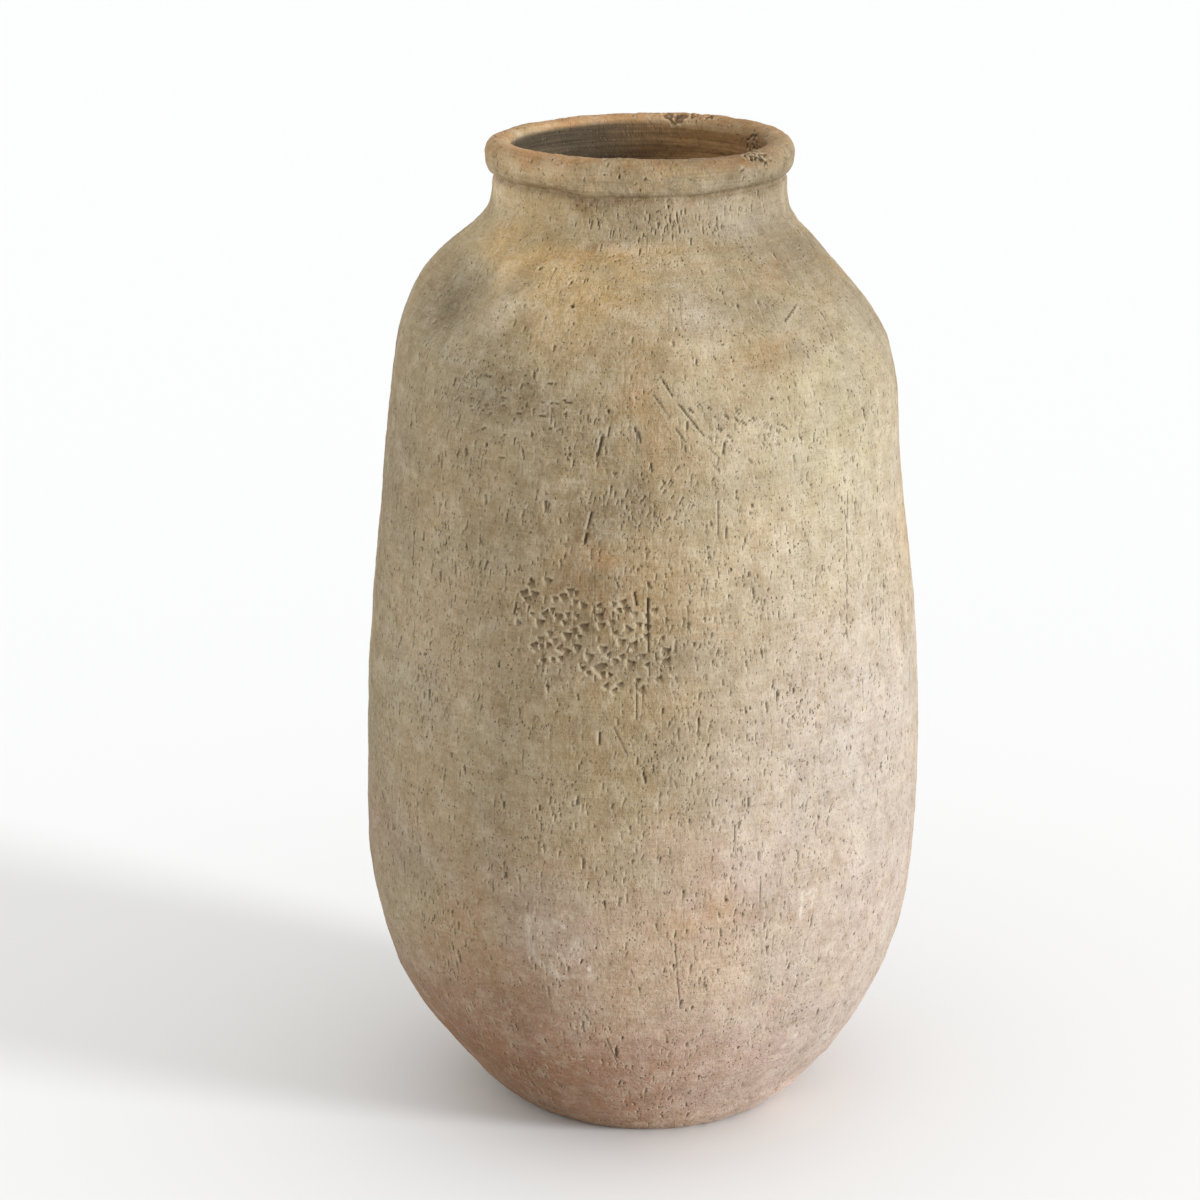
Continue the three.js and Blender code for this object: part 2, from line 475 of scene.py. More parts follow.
# Marks seen on the front: (turn, height) at each end, width and depth
SCRATCHES = (
    ((49.5, 520.5), (47.9, 462), 1.2, 0.7), ((47.8, 458), (46.5, 410.5), 1.2, 0.6),
    ((16.5, 526), (16.3, 502), 1.4, 0.8), ((4.6, 614), (6.8, 603), 1.6, 0.9),
    ((8.2, 597), (13.6, 574), 1.7, 1), ((2.6, 604), (6.2, 588), 1.1, 0.6),
    ((7.4, 580), (9.6, 570), 1.3, 0.7), ((14.4, 566), (16.8, 558), 1.2, 0.7),
    ((39, 646.8), (45, 654.5), 1.7, 0.9), ((1.4, 458), (1.5, 420), 2.2, 2.2),
    ((-0.9, 398), (-0.8, 371), 1.2, 0.9), ((0.4, 396), (0.3, 374), 1.1, 0.7),
    ((18.5, 287), (18.3, 268), 1.4, 0.9), ((6.9, 197), (7.4, 172), 1.1, 0.7),
    ((7.5, 169), (8.4, 141), 1.2, 0.7), ((-10.6, 519), (-11.4, 508), 1.7, 1.4),
    ((-11.5, 504), (-11.9, 497), 2.4, 1.8), ((-8.6, 574), (-9.4, 561), 2.4, 1.6),
    ((-7, 581), (-7.3, 575), 1.8, 1.2), ((-5.2, 365), (-2.6, 345), 1.1, 0.6),
    ((24, 245), (24.2, 222), 1, 0.5), ((-30, 250), (-29.8, 228), 1, 0.5),
    ((-7.2, 116), (-5, 88), 1, 0.5),
)
# (turn, height, length, width, depth)
DEEP_PITS = (
    (-23.3, 467.4, 3.8, 3.2, 2.2), (-18.7, 660.8, 3.4, 4.2, 2), (-31.7, 681.5, 3, 2.6, 1.8),
    (17, 229.5, 3.4, 2.4, 1.8), (-49.1, 538.2, 4.6, 1.9, 1.6), (-36, 560, 4, 2.2, 1.6),
    (-8.4, 756, 2.4, 1.8, 1.4), (29.6, 597, 2.6, 2.2, 1.6), (10.9, 142, 3.6, 2, 1.5),
    (9.6, 140, 2.2, 1.8, 1.2), (23, 98, 3.4, 2.2, 1.5),
)
# Close groups of pits: (turn, height, spread in degrees, spread in height, count, commonest lean)
CLUSTERS = (
    (13.1, 426, 0.9, 7, 9, 0), (23.7, 462, 1.2, 16, 12, 0), (15.4, 414, 0.8, 8, 7, 0),
    (4.9, 407, 2.2, 7, 12, 0), (38.9, 279, 2.4, 3, 8, 30), (11.5, 341, 1.6, 8, 8, 20),
    (9.6, 352, 2.6, 14, 14, 8), (-44.2, 541, 2.2, 8, 9, 15), (-30, 592, 8, 16, 70, 82),
    (-42, 600, 4, 12, 22, 35), (-63, 612, 2.6, 14, 12, 10), (51, 632, 1.2, 9, 10, 5),
    (20, 583, 4.5, 12, 40, -48), (26, 560, 4.5, 14, 26, -40), (8, 536, 5, 10, 26, 40),
    (-6, 524, 5, 9, 40, 14), (-2, 690, 9, 4, 16, 70), (0, 708, 12, 8, 40, 4), (22, 712, 12, 7, 34, 2),
    (33, 250, 7, 20, 30, 5), (20, 200, 5, 22, 22, 8), (33, 120, 6, 10, 18, 60),
    (160, 560, 10, 24, 70, 80), (235, 450, 8, 30, 60, 10), (120, 400, 9, 26, 60, 5),
    (200, 300, 10, 30, 60, 60),
)
# Pale rubs on the surface: (turn, height) at each end, width and strength
RUBS = (
    ((-22.4, 214), (-21.6, 184), 2.2, 0.55), ((-21.8, 184), (-16.5, 167), 3, 0.4),
    ((-16.5, 167), (-9, 171), 2.4, 0.3), ((-20.5, 200), (-14, 178), 2, 0.25),
    ((-17, 214), (-15, 209), 1.4, 0.5), ((-12.5, 196), (-10, 150), 5, 0.2),
    ((34, 226), (33.4, 205), 1.6, 0.75), ((34.2, 223), (37.5, 224.5), 1.2, 0.7),
    ((36.6, 225.5), (36.3, 212), 1.2, 0.55), ((38, 202), (39, 197), 1, 0.5),
    ((39, 96), (39.3, 94), 2.6, 0.9), ((36.5, 89), (36.7, 88), 2.2, 0.8),
    ((-10.1, 176.6), (-10, 175.4), 1.8, 0.9), ((-23, 92), (-22.7, 91), 1.6, 0.7),
    ((128, 330), (133, 300), 2.4, 0.4), ((214, 180), (217, 160), 2, 0.4),
)
# The oval patch of a tool's corner marks: its middle, its reach in degrees and in height, and how many
TOOL_PATCH = {"turn": -10.5, "height": 433.0, "spread": 15.5, "tall": 38.0, "count": 78}
TOOL_GAP = 4.5
MM_PER_DEGREE = 3.6
PIT_COUNT = 17000
DRAG_COUNT = 700


def between(start, end):
    """Middle, lean and length of a mark from one (turn, height) to another."""
    low, high = along_at(start[1]), along_at(end[1])
    middle = (low + high) / 2
    across = math.radians(start[0] - end[0]) * np.interp(middle, ALONG, MEAN_RADIUS)
    up = low - high
    return (start[0] + end[0]) / 2, middle, math.degrees(math.atan2(across, up)), math.hypot(across, up)


def front_marks():
    """The scratches, rubs, deep pits and close groups of pits of the tables above."""
    for start, end, width, depth in SCRATCHES:
        marks.gouge(*between(start, end), width, depth, 0.85, 0.3, 0.5 * depth * (width > 1.6))
    for start, end, width, strength in RUBS:
        marks.rub(*between(start, end), width, strength)
    for turn, height, length, width, depth in DEEP_PITS:
        marks.gouge(turn, along_at(height), rng.uniform(-8, 8), length - width, width, depth, 1.0)
    highest = LIP_JOINT - 12
    for turn, height, wide, tall, count, lean in CLUSTERS:
        for _ in range(count):
            width = rng.uniform(0.7, 1.5)
            place = (rng.normal(turn, wide), along_at(min(rng.normal(height, tall), highest)))
            length = width * rng.uniform(0.3, 4)
            marks.gouge(*place, rng.normal(lean, 7), length, width, 0.6 * width, rng.uniform(0.5, 1), 0.4)


def tool_marks():
    """Corner marks thrown over the patch, thinner towards its edge and never on top of each other."""
    placed = []
    patch = TOOL_PATCH
    while len(placed) < patch["count"]:
        u, v = rng.uniform(-1.25, 1.25, 2)
        if u * u + v * v > 1.3 or rng.random() > 1.15 - 0.75 * (u * u + v * v):
            continue
        turn = patch["turn"] + patch["spread"] * (u - 0.25 * v)
        along = along_at(patch["height"] + patch["tall"] * v)
        gaps = [math.hypot((turn - t) * MM_PER_DEGREE, 0.78 * (along - a)) for t, a in placed]
        if gaps and min(gaps) < TOOL_GAP:
            continue
        placed.append((turn, along))
        marks.wedge(turn, along, rng.normal(-6, 14), rng.uniform(3.4, 7.6), rng.uniform(1.2, 2.5))


def scattered_pits():
    """Grit dragged through the clay leaves thousands of small upright pits all round."""
    low, high = along_at(4.0), along_at(LIP_JOINT - 2)
    lumps = np.clip(0.5 + 0.9 * layered(34, 80, 2), 0, 1)
    made = 0
    while made < PIT_COUNT:
        turn = rng.uniform(0, 360)
        along = rng.uniform(low, high)
        radius = np.interp(along, ALONG, MEAN_RADIUS)
        height = np.interp(along, ALONG, MEAN_HEIGHT)
        if rng.random() > radius / 218:
            continue
        crowd = lumps[np.searchsorted(ALONG, along), np.searchsorted(TURN, turn) % COLUMNS]
        middle = hump(height - 430, 280)
        sparse = 0.55 if 590 < height < NECK_ROOT else 1
        if rng.random() > sparse * (0.08 + 0.75 * crowd**1.5 + 0.17 * middle):
            continue
        made += 1
        width = min(rng.lognormal(-0.12, 0.38), 2.4) * (0.8 if height > NECK_ROOT else 1)
        length = width * rng.uniform(0.3, 4.2) * (0.6 if sparse < 1 else 1)
        depth = width * rng.uniform(0.3, 0.75)
        # How dark the pit is painted: partly dirt, partly painted shade.
        dirt_and_painted_shade = rng.uniform(0.1, 1.0) ** 0.7
        marks.gouge(turn, along, rng.normal(0, 9), length, width, depth, dirt_and_painted_shade, rng.uniform(0, 0.8))
        if width > 1.5 and rng.random() < 0.4:
            tail = rng.uniform(6, 20)
            marks.gouge(turn, along - tail / 2, rng.normal(0, 3), tail, 0.9, 0.3, 0.35, 0.6)


def drag_lines():
    """Long faint scratches from smoothing the wall upwards."""
    for _ in range(DRAG_COUNT):
        turn = rng.uniform(0, 360)
        along = rng.uniform(along_at(60.0), along_at(NECK_ROOT + 20))
        length = rng.lognormal(2.8, 0.6)
        depth = rng.uniform(0.1, 0.3)
        marks.gouge(turn, along, rng.normal(0, 4), length, rng.uniform(0.8, 1.2), depth, depth, 0.5)


# The lip's highest line is about this far up and over from its joint
LIP_CREST = ALONG[STARTS[LIP_BLOCK]] + 34
LIP_PIT_COUNT = 260
# Broken places on the lip: (turn, distance inwards from the crest, spread in turn, spread inwards, count)
CHIPS = (
    (163, 5, 3.5, 4, 22), (156, 0, 4, 3, 14), (171, 2, 5, 3, 9), (188, 2, 2, 2, 4), (52, 3, 1.5, 2, 4),
    (255, 1, 1.5, 2, 4),
)
# Short cracks: (turn, distance inwards), three on the lip and four on the mouth's inner wall
CRACKS = ((47.5, 0), (49.5, 0), (51.5, -2), (112, 24), (117, 28), (108, 30), (114, 20))
CRACK_PITS = 6


def lip_chips():
    """Rough notches in the lip, most at the back right, small pits all round it, and the cracks."""
    top = LIP_CREST - 4
    for turn, inwards, spread, deep, count in CHIPS:
        for _ in range(count):
            place = (rng.normal(turn, spread), LIP_CREST + rng.normal(inwards, deep))
            width = rng.uniform(1.6, 4.2)
            lean, length = rng.uniform(0, 180), rng.uniform(0, 4)
            marks.gouge(*place, lean, length, width, 0.75 * width, rng.uniform(0.3, 0.9))
    for _ in range(LIP_PIT_COUNT):
        turn = rng.uniform(0, 360)
        width = rng.uniform(0.8, 1.7)
        length = width * rng.uniform(0.2, 1.6)
        along, lean = top + rng.uniform(-22, 16), rng.uniform(0, 180)
        marks.gouge(turn, along, lean, length, width, 0.5 * width, rng.uniform(0.2, 0.9))
    for turn, inwards in CRACKS:
        for _ in range(CRACK_PITS):
            place = (rng.normal(turn, 1.6), top + inwards + rng.normal(0, 4))
            width = rng.uniform(1.1, 2.4)
            marks.gouge(*place, rng.uniform(0, 180), rng.uniform(1, 4), width, 0.8 * width, 1.0)


front_marks()
tool_marks()
scattered_pits()
drag_lines()
lip_chips()


# ---- Broad hand relief ----

LIP_GROOVE = ring_curve(
    (
        (-75, 733), (-60, 733.5), (-46, 733.5), (-36, 734), (-28, 731), (-21, 728.5), (-14, 729.5),
        (-6, 731), (14, 731), (31, 732.5), (46, 734), (64, 733), (90, 734), (130, 731), (180, 733),
        (230, 730), (260, 733),
    )
)
NECK_SEAM = ring_curve(
    (
        (-75, 688), (-50, 686), (-34, 689.6), (-17, 692), (0, 695), (20, 697), (45, 697), (63, 696),
        (100, 693), (150, 696), (200, 692), (240, 695),
    )
)
signed_turn = turned_from(0)


def seam_share():
    """How clearly the neck's seam shows: best at the front left, faint at the sides, gone at the back."""
    front = step(signed_turn, -50, -34) * (1 - 0.6 * step(signed_turn, 0, 30))
    left = 0.4 * step(-signed_turn, 60, 90)
    return front * (1 - step(signed_turn, 150, 178)) + left * (1 - step(-signed_turn, 150, 178))


SEAM_SHARE = seam_share()


def blob(turn, height, spread, tall):
    """A soft patch on the outside, round a place."""
    return hump(turned_from(turn), spread) * hump(HEIGHT - height, tall) * OUTSIDE


def band(line, tall):
    """A soft ring round the outside at a height, which may differ from column to column."""
    return hump(HEIGHT - line, tall) * OUTSIDE


def wall_relief():
    """Lumps and ripples left by the hands, throwing rings, and strokes from smoothing upwards."""
    body = np.clip(1 - INSIDE, 0, 1)
    lumps = 0.9 * layered(70, 100, 3) + 0.22 * layered(9, 120, 2)
    ring_height = 0.22 + 0.2 * step(HEIGHT, 640, 700) + 0.25 * step(-HEIGHT, -160, -90)
    rings = noise((400, 400, 13), 140) * ring_height
    strokes = noise((9, 9, 70), 150) * 0.22 + noise((3, 3, 24), 151) * 0.12
    rough_patch = 0.35 * blob(-10, 430, 15, 38) * layered(6, 155, 2)
    return lumps + rough_patch + rings + strokes * body


def neck_relief():
    """The groove under the lip, clay hanging over it at the left, and the seams below it."""
    groove = -1.3 * band(LIP_GROOVE, 2.6)
    under_lip = step(HEIGHT, LIP_GROOVE, LIP_GROOVE + 6) * (1 - step(HEIGHT, LIP_JOINT + 4, LIP_JOINT + 9))
    overhang = (0.3 + 1.3 * hump(signed_turn + 20, 15)) * under_lip * OUTSIDE
    seam = -SEAM_SHARE * (0.7 * band(NECK_SEAM, 3.0) - 0.5 * band(NECK_SEAM + 7, 4))
    second_groove = 0.4 * band(LIP_GROOVE + 7, 2.8) - 0.5 * band(LIP_GROOVE + 13, 2.4)
    return groove + overhang + seam + second_groove


def shoulder_relief():
    """The leaning ridge on the left shoulder, the hollow beside it and the crease between them."""
    ridge = 3.0 * hump(signed_turn + 36.5 + (660 - HEIGHT) * 0.28, 5.5) * hump(HEIGHT - 652, 32)
    hollow = ((signed_turn + 58) / 14) ** 2 + ((HEIGHT - 655) / 28) ** 2
    hollow = 6.5 * np.exp(-(hollow**1.7))
    crease = 0.9 * hump(signed_turn + 44 + (660 - HEIGHT) * 0.3, 2.2) * hump(HEIGHT - 655, 22)
    return (ridge - hollow - crease) * OUTSIDE


def foot_relief():
    """A small bulge at the right of the foot and a shallow flat at its left."""
    return 1.6 * blob(62, 57, 6, 9) - 1.2 * blob(-50, 100, 14, 30)


relief = wall_relief() + neck_relief() + shoulder_relief() + foot_relief()
grit = 0.16 * noise((2.2, 2.2, 3.4), 160) + 0.1 * noise((1.2, 1.2, 1.8), 161)
lip_foot = ALONG[STARTS[LIP_BLOCK]]
lip_zone = step(ALONG, lip_foot - 4, lip_foot + 10)[:, None] * (1 - INSIDE)
relief = relief + grit * (0.35 + 0.65 * (1 - INSIDE)) + 0.35 * lip_zone * layered(8, 170, 2)
under = (row < STARTS[1])[:, None]
relief = np.where(under, np.minimum(relief, 0) * 0.3, relief)
MACRO_NORMAL = normals_of(SKIN)
SHAPE = SKIN + MACRO_NORMAL * (relief - marks.depth)[..., None]
SHAPE[..., 2] = np.maximum(SHAPE[..., 2], 0)
NORMAL = normals_of(SHAPE)


# ---- Where each colour lies ----


def linear(red, green, blue):
    """A colour given as sRGB 0 to 255."""
    return (*(((v / 255 + 0.055) / 1.055) ** 2.4 for v in (red, green, blue)), 1.0)


# Each stain's patches: (turn, height, spread in degrees, spread in height, strength). A spread of 360 goes
# right round the jar.
OCHRE = (
    (-40, 722, 26, 16, 0.6), (-5, 748, 70, 9, 0.6), (2, 642, 10, 24, 0.5), (-7, 460, 15, 190, 0.38),
    (-31, 682, 16, 22, 0.9), (-11, 668, 14, 18, 0.9), (-1, 690, 12, 8, 0.7), (-20, 646, 13, 18, 0.55),
    (-55, 694, 20, 14, 0.8), (0, 606, 5, 22, 0.8), (-3, 560, 6, 22, 0.4), (30, 622, 9, 12, 0.5),
    (38, 668, 12, 12, 0.3), (-6, 470, 9, 26, 0.4), (0, 757, 360, 10, 0.6), (28, 690, 12, 8, 0.35),
    (150, 660, 40, 30, 0.6), (235, 560, 24, 50, 0.5), (200, 690, 60, 14, 0.5), (100, 600, 20, 40, 0.3),
    (180, 430, 22, 60, 0.35), (78, 668, 16, 18, 0.6), (84, 470, 14, 40, 0.4),
)
OLIVE = (
    (45, 743, 50, 7, 1.0), (104, 500, 16, 80, 0.7), (88, 590, 12, 30, 0.5), (-62, 655, 11, 22, 0.8),
    (-35, 590, 22, 34, 0.6), (-20, 545, 14, 40, 0.7), (-72, 520, 14, 90, 0.6), (-30, 500, 26, 60, 0.5),
    (-10, 500, 10, 50, 0.7), (40, 735, 60, 8, 0.8), (30, 708, 30, 10, 0.5), (-22, 440, 14, 40, 0.55),
    (-78, 330, 14, 80, 0.7), (55, 640, 14, 12, 0.35), (-30, 330, 10, 60, 0.4), (120, 560, 30, 60, 0.6),
    (205, 620, 26, 40, 0.9), (250, 480, 30, 80, 0.6), (165, 520, 18, 50, 0.5), (225, 380, 20, 70, 0.5),
    (95, 720, 30, 14, 0.7),
)
# Umber stain, but its patches low on the foot's left and its thin band in the groove under the lip are
# painted shade.
UMBER = (
    (-7, 460, 15, 190, 0.34), (-11, 450, 11, 26, 0.5), (-2, 405, 7, 20, 0.3), (-30, 380, 6, 90, 0.2),
    (-3, 605, 4, 16, 0.35), (-11, 500, 5, 26, 0.5), (-40, 60, 24, 40, 0.8), (-62, 100, 22, 34, 0.5),
    (-50, 16, 60, 14, 0.5), (-32, 130, 8, 26, 0.5), (-25, 588, 9, 16, 0.4), (7, 470, 7, 20, 0.25),
    (-16, 731, 24, 4, 0.5), (-12, 412, 9, 12, 0.45), (100, 240, 12, 50, 0.4), (-6, 700, 40, 5, 0.3),
    (-6, 262, 12, 30, 0.25), (190, 80, 40, 50, 0.7), (140, 430, 12, 40, 0.4), (240, 300, 14, 60, 0.4),
)
PINK = (
    (0, 60, 360, 90, 0.9), (0, 210, 360, 70, 0.35), (-16, 195, 15, 40, 0.7), (20, 240, 22, 60, 0.6),
    (60, 200, 30, 80, 0.7), (55, 340, 22, 60, 0.45), (-60, 150, 30, 60, 0.2), (55, 60, 40, 110, 0.9),
    (180, 180, 70, 80, 0.7), (110, 300, 20, 70, 0.3),
)
EARTH = (
    (-18, 52, 44, 60, 0.55), (-38, 60, 26, 50, 0.4), (-15, 410, 8, 12, 0.35), (-45, 70, 44, 64, 0.9),
    (-30, 150, 30, 40, 0.45), (-30, 10, 44, 34, 0.6), (0, 90, 20, 40, 0.3), (175, 60, 60, 60, 0.6),
    (-75, 230, 20, 60, 0.25),
)
RUST = (
    (0, 765, 360, 9.5, 1.0), (-35, 762, 44, 8, 0.9), (30, 764, 50, 7, 0.6), (-16, 689, 13, 5, 0.4),
    (-8, 490, 8, 9, 0.4), (-12, 455, 12, 20, 0.3), (-2, 600, 4, 18, 0.35), (45, 676, 7, 8, 0.3),
    (34, 632, 7, 9, 0.25), (2, 570, 4, 26, 0.3), (12, 215, 8, 18, 0.4), (-36, 205, 8, 30, 0.35),
    (150, 560, 12, 40, 0.4), (210, 690, 20, 8, 0.5),
)
GREY = (
    (-33, 598, 10, 14, 0.5), (-23, 585, 8, 10, 0.45), (-59, 650, 13, 24, 0.55), (-44, 541, 4, 10, 0.4),
    (18, 585, 6, 12, 0.3), (-9, 565, 4, 12, 0.5), (-11, 512, 4, 12, 0.45), (13, 425, 2.5, 9, 0.5),
    (23, 462, 3, 14, 0.35), (51, 632, 2.5, 8, 0.4), (-2, 520, 8, 8, 0.35), (0, 708, 12, 7, 0.35),
    (-42, 620, 5, 10, 0.3), (160, 556, 12, 22, 0.6), (235, 450, 10, 30, 0.5), (-14, 405, 9, 10, 0.25),
    (84, 612, 8, 16, 0.5), (70, 405, 5, 18, 0.35), (118, 400, 8, 20, 0.4), (200, 640, 12, 16, 0.5),
)
# Pale patches, but the two small ones on the left shoulder's ridge, at turns -38 and -46, are a painted
# highlight along its crest.
PALE = (
    (60, 520, 36, 110, 0.8), (55, 320, 36, 110, 0.8), (30, 560, 10, 26, 0.6), (12, 648, 8, 26, 0.75),
    (38, 715, 16, 13, 0.8), (46, 405, 14, 54, 0.6), (50, 600, 22, 26, 0.6), (-16, 192, 10, 26, 0.5),
    (35, 470, 10, 60, 0.5), (35, 170, 14, 40, 0.5), (-50, 380, 16, 60, 0.35), (24, 250, 9, 50, 0.4),
    (-62, 720, 14, 14, 0.4), (100, 420, 40, 140, 0.7), (150, 300, 30, 80, 0.5), (215, 480, 16, 50, 0.4),
    (280, 250, 24, 80, 0.3), (58, 120, 26, 90, 0.6), (48, 225, 14, 26, 0.4), (62, 408, 10, 20, 0.4),
    (30, 30, 30, 40, 0.3), (-38, 655, 4, 16, 0.6), (-46, 628, 6, 7, 0.5),
)
STRAW = (
    (0, 610, 360, 130, 0.22), (50, 570, 36, 120, 0.45), (-50, 700, 40, 36, 0.45),
    (-60, 350, 36, 110, 0.22), (-60, 190, 30, 50, 0.45), (-8, 420, 16, 170, 0.3),
    (150, 520, 50, 110, 0.3),
)
ASH = (
    (50, 330, 34, 90, 0.3), (66, 210, 26, 80, 0.4), (45, 90, 36, 60, 0.3), (210, 250, 40, 90, 0.3),
)
# Laid over the clay in this order: the stain's colour, its patches, how far its noise is moved round the
# jar, and how broken its edges are
STAINS = {
    "pink": (linear(173, 147, 136), PINK, 680, 0.25),
    "pale": (linear(177, 164, 150), PALE, 790, 0.3),
    "straw": (linear(170, 160, 119), STRAW, 300, 0.3),
    "ash": (linear(178, 168, 161), ASH, 620, 0.3),
    "ochre": (linear(178, 148, 100), OCHRE, 0, 0.35),
    "olive": (linear(142, 127, 99), OLIVE, 110, 0.45),
    "umber": (linear(120, 97, 67), UMBER, 230, 0.4),
    "earth": (linear(156, 112, 82), EARTH, 340, 0.3),
    "rust": (linear(173, 130, 84), RUST, 450, 0.4),
    "grey": (linear(116, 103, 81), GREY, 560, 0.6),
}
# These two run on over the lip's inner edge
OVER_THE_EDGE = ("umber", "rust")

WANDER = layered(45, 200, 3)
BREAKUP = layered(14, 210, 3, 1.6)


def colour_mask(patches, shift, broken):
    """Patches with wandering edges, broken up by noise. shift moves the noise round the jar."""
    wander = np.roll(WANDER, shift, axis=1)
    breakup = np.roll(BREAKUP, shift, axis=1)
    total = np.zeros((ROWS, COLUMNS))
    for turn, height, spread, tall, amount in patches:
        if spread >= 360:
            soft = hump(HEIGHT - height + 8 * wander, tall)
        else:
            soft = hump(turned_from(turn) + 3.5 * wander, spread)
            soft = soft * hump(HEIGHT - height + 12 * wander, tall)
        soft = amount * soft * OUTSIDE
        total = np.maximum(total, soft) + 0.25 * np.minimum(total, soft)
    return np.clip(total * (1 + broken * breakup), 0, 1)


# Lighter and darker areas, partly the clay's own tone from burning and washing, partly painted light and
# shade: painted shade on the shoulder and lip top at the right, in the left shoulder's hollow and low on
# the foot's left, painted light on the neck and lip at the left and a painted highlight on the left
# shoulder's ridge: (turn, height, spread, tall, factor)
TONES_AND_PAINTED_LIGHT = (
    (-14, 470, 6, 12, 0.86), (2, 632, 9, 26, 0.94), (15, 528, 7, 14, 0.9), (30, 592, 7, 10, 0.92),
    (75, 520, 12, 30, 0.92), (72, 680, 14, 16, 0.9), (-75, 716, 14, 14, 1.15), (60, 408, 9, 14, 1.12),
    (45, 230, 9, 14, 1.08), (-76, 235, 12, 30, 0.92), (-60, 35, 12, 24, 1.12), (-36, 24, 14, 16, 0.92),
    (16, 18, 10, 12, 1.08), (60, 18, 10, 12, 1.1), (60, 700, 42, 42, 0.68), (35, 757, 62, 11, 0.68),
    (40, 744, 40, 8, 0.8), (-36, 748, 14, 8, 1.25), (-52, 747, 12, 7, 1.2), (-38, 719, 12, 9, 1.2),
    (-4, 719, 15, 9, 0.8), (30, 722, 14, 7, 0.86), (0, 757, 26, 9, 0.88), (28, 652, 12, 20, 0.78),
    (30, 622, 9, 13, 0.75), (75, 640, 28, 40, 0.82), (-76, 722, 22, 16, 1.5), (-56, 690, 20, 16, 1.3),
    (-50, 650, 22, 44, 1.1), (35, 715, 14, 13, 1.16), (-8, 440, 13, 32, 0.8), (4, 412, 11, 16, 0.8),
    (-5, 632, 13, 26, 0.88), (-45, 55, 24, 42, 0.86), (-60, 650, 12, 22, 0.85), (60, 20, 12, 12, 1.08),
    (-70, 754, 24, 10, 1.05), (0, 560, 7, 50, 0.82), (0, 532, 8, 20, 0.82), (-10, 470, 12, 34, 0.94),
    (-15, 375, 13, 60, 0.86), (5, 335, 13, 50, 0.88), (-30, 250, 34, 130, 0.9), (-45, 90, 50, 70, 0.9),
    (150, 640, 40, 40, 0.8), (215, 560, 24, 70, 0.85), (180, 250, 30, 80, 0.9), (265, 350, 20, 90, 1.1),
    (28, 12, 40, 22, 1.12), (58, 14, 18, 22, 1.25), (-32, 22, 22, 16, 0.86), (-30, 650, 6, 12, 0.88),
    (14, 155, 10, 30, 1.12), (-45, 682, 5, 8, 1.14), (-37, 655, 5, 14, 1.16), (-47, 625, 8, 7, 1.12),
    (-41, 668, 7, 22, 1.1), (62, 676, 30, 20, 0.85), (50, 757, 30, 9, 0.84), (60, 590, 30, 26, 0.9),
    (-35, 350, 10, 30, 1.12), (-65, 215, 16, 40, 0.94), (-40, 60, 30, 46, 0.95),
)


def tone_and_painted_light_map():
    """How much lighter or darker than its stains the clay is at each place: its own tone, and painted light
    and shade.
    """
    wander = np.roll(WANDER, 900, axis=1)
    total = np.ones((ROWS, COLUMNS))
    for turn, height, spread, tall, factor in TONES_AND_PAINTED_LIGHT:
        soft = hump(turned_from(turn) + 4 * wander, spread) * hump(HEIGHT - height + 6 * wander, tall)
        total *= 1 + (factor - 1) * soft * OUTSIDE
    return total * (1 + 0.05 * wander)


# Where the clay was wiped round the jar and not upwards: the lip, the inside and the foot
wiped = np.maximum(np.maximum(lip_zone, INSIDE), 0.8 * step(-HEIGHT, -120, -60))
MASKS = {
    "chalk": marks.chalk,
    # Pale left edges of marks, partly wear and partly a painted highlight, and the dark in them, partly
    # dirt and partly painted shade.
    "wear_and_painted_highlight": np.clip(marks.wear_and_painted_highlight * (1 - 0.8 * (marks.depth > 0.15)), 0, 1),
    "dirt_and_painted_shade": np.clip(marks.dirt_and_painted_shade, 0, 1),
    "tone": tone_and_painted_light_map(),
    "wiped": wiped,
    "inside": INSIDE,
}
# An ochre stain along the neck's seam, and painted shade in the groove under the lip, laid with the umber
seam_stain_and_groove_shade = {"ochre": 0.7 * SEAM_SHARE * band(NECK_SEAM, 4), "umber": 0.6 * band(LIP_GROOVE, 3)}
for name, (_, patches, shift, broken) in STAINS.items():
    mask = np.clip(colour_mask(patches, shift, broken) + seam_stain_and_groove_shade.get(name, 0), 0, 1)
    MASKS[name] = mask if name in OVER_THE_EDGE else mask * (1 - INSIDE)


# ---- Meshes ----


class Sheet:
    """Rows of the skin taken for one section, with what each vertex carries."""

    def __init__(self, rows):
        self.points = SHAPE[rows]
        self.normals = NORMAL[rows]
        self.masks = {name: values[rows] for name, values in MASKS.items()}


def joined(sheets):
    """Several sheets one after the other."""
    whole = Sheet(np.arange(0))
    whole.points = np.concatenate([s.points for s in sheets])
    whole.normals = np.concatenate([s.normals for s in sheets])
    whole.masks = {name: np.concatenate([s.masks[name] for s in sheets]) for name in MASKS}
    return whole


def joint_face(start_row, end_row):
    """The rows of a luted joint's face, between the skin's outer and inner edges."""
    face = Sheet(np.full(JOINT_ROWS, start_row))
    shares = (np.arange(1, JOINT_ROWS + 1) / (JOINT_ROWS + 1))[:, None, None]
    face.points = (1 - shares) * SHAPE[start_row] + shares * SHAPE[end_row]
    return face


UV_MARGIN = 0.004
JOINT_UV_WEIGHT = 0.15
INSIDE_UV_SAVING = 0.6


